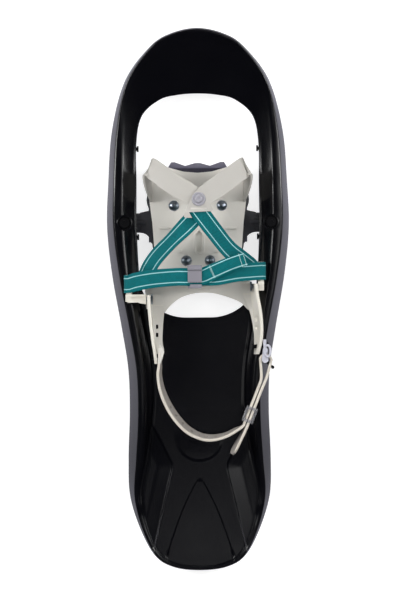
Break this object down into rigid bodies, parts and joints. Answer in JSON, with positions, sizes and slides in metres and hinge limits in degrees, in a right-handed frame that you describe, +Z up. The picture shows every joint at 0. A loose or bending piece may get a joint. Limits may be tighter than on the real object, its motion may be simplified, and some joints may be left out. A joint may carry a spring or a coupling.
{
  "type": "snowshoe",
  "caption": "Moulded snowshoe deck with a toe opening, a foot plate hung on a torsion strap, webbing over the boot, an adjustable heel strap and steel teeth below.",
  "frame": {"origin": "middle of the deck's outline, on the ground under the tooth tips", "axes": "+X right, +Y towards the toe, +Z up"},
  "size_m": [0.2064, 0.61, 0.0834],
  "materials": {
    "deck_plastic": "satin moulded black",
    "elastomer": "dull moulded elastomer",
    "dark_steel": "dark heat-treated steel",
    "black_fastener": "black coated steel",
    "bright_steel": "plain steel",
    "rivet_metal": "satin",
    "plate_plastic": "satin light grey",
    "arm_plastic": "satin off-white",
    "webbing": "woven teal with pale stripes",
    "buckle_plastic": "satin grey",
    "urethane": "satin off-white urethane",
    "keeper_plastic": "smooth grey"
  },
  "bodies": {
    "deck_body": {"deck": "deck_plastic", "left_strap_end": "elastomer", "right_strap_end": "elastomer", "strap_bolts": "black_fastener", "strap_nuts": "bright_steel", "left_traction_rail": "dark_steel", "right_traction_rail": "dark_steel", "rail_screws": "black_fastener", "rail_nuts": "bright_steel", "deck_rivets": "black_fastener"},
    "binding": {"pivot_strap": "elastomer", "toe_crampon": "dark_steel", "foot_plate": "plate_plastic", "plate_bolts": "bright_steel", "plate_nuts": "bright_steel", "left_toe_flap": "plate_plastic", "right_toe_flap": "plate_plastic", "flap_rivet": "rivet_metal", "left_heel_arm": "arm_plastic", "right_heel_arm": "arm_plastic", "left_guide": "arm_plastic", "right_guide": "arm_plastic", "guide_bolts": "bright_steel", "left_webbing": "webbing", "right_webbing": "webbing", "pull_tab": "webbing", "arm_rivets": "bright_steel"},
    "heel_loop": {"heel_strap": "urethane", "heel_buckle": "arm_plastic", "strap_peg": "bright_steel"},
    "lock": {"ladder_lock": "buckle_plastic"},
    "keeper": {"strap_keeper": "keeper_plastic"}
  },
  "joints": [
    {"name": "binding_pivot", "type": "hinge", "parent": "deck_body", "child": "binding", "pos_m": [0, 0.0875, 0.0216], "axis": [-1, 0, 0], "range_deg": [0, 60], "stiffness_Nm_per_rad": 1.2},
    {"name": "heel_strap_swing", "type": "hinge", "parent": "binding", "child": "heel_loop", "pos_m": [-0.044, -0.062, 0.0554], "axis": [-0.9959, -0.0901, 0], "range_deg": [0, 40]},
    {"name": "lock_slide", "type": "slide", "parent": "binding", "child": "lock", "axis": [-1, 0, 0], "range_m": [0, 0.008]},
    {"name": "keeper_slide", "type": "slide", "parent": "heel_loop", "child": "keeper", "axis": [0.37, 0.929, 0], "range_m": [-0.004, 0.006]}
  ]
}
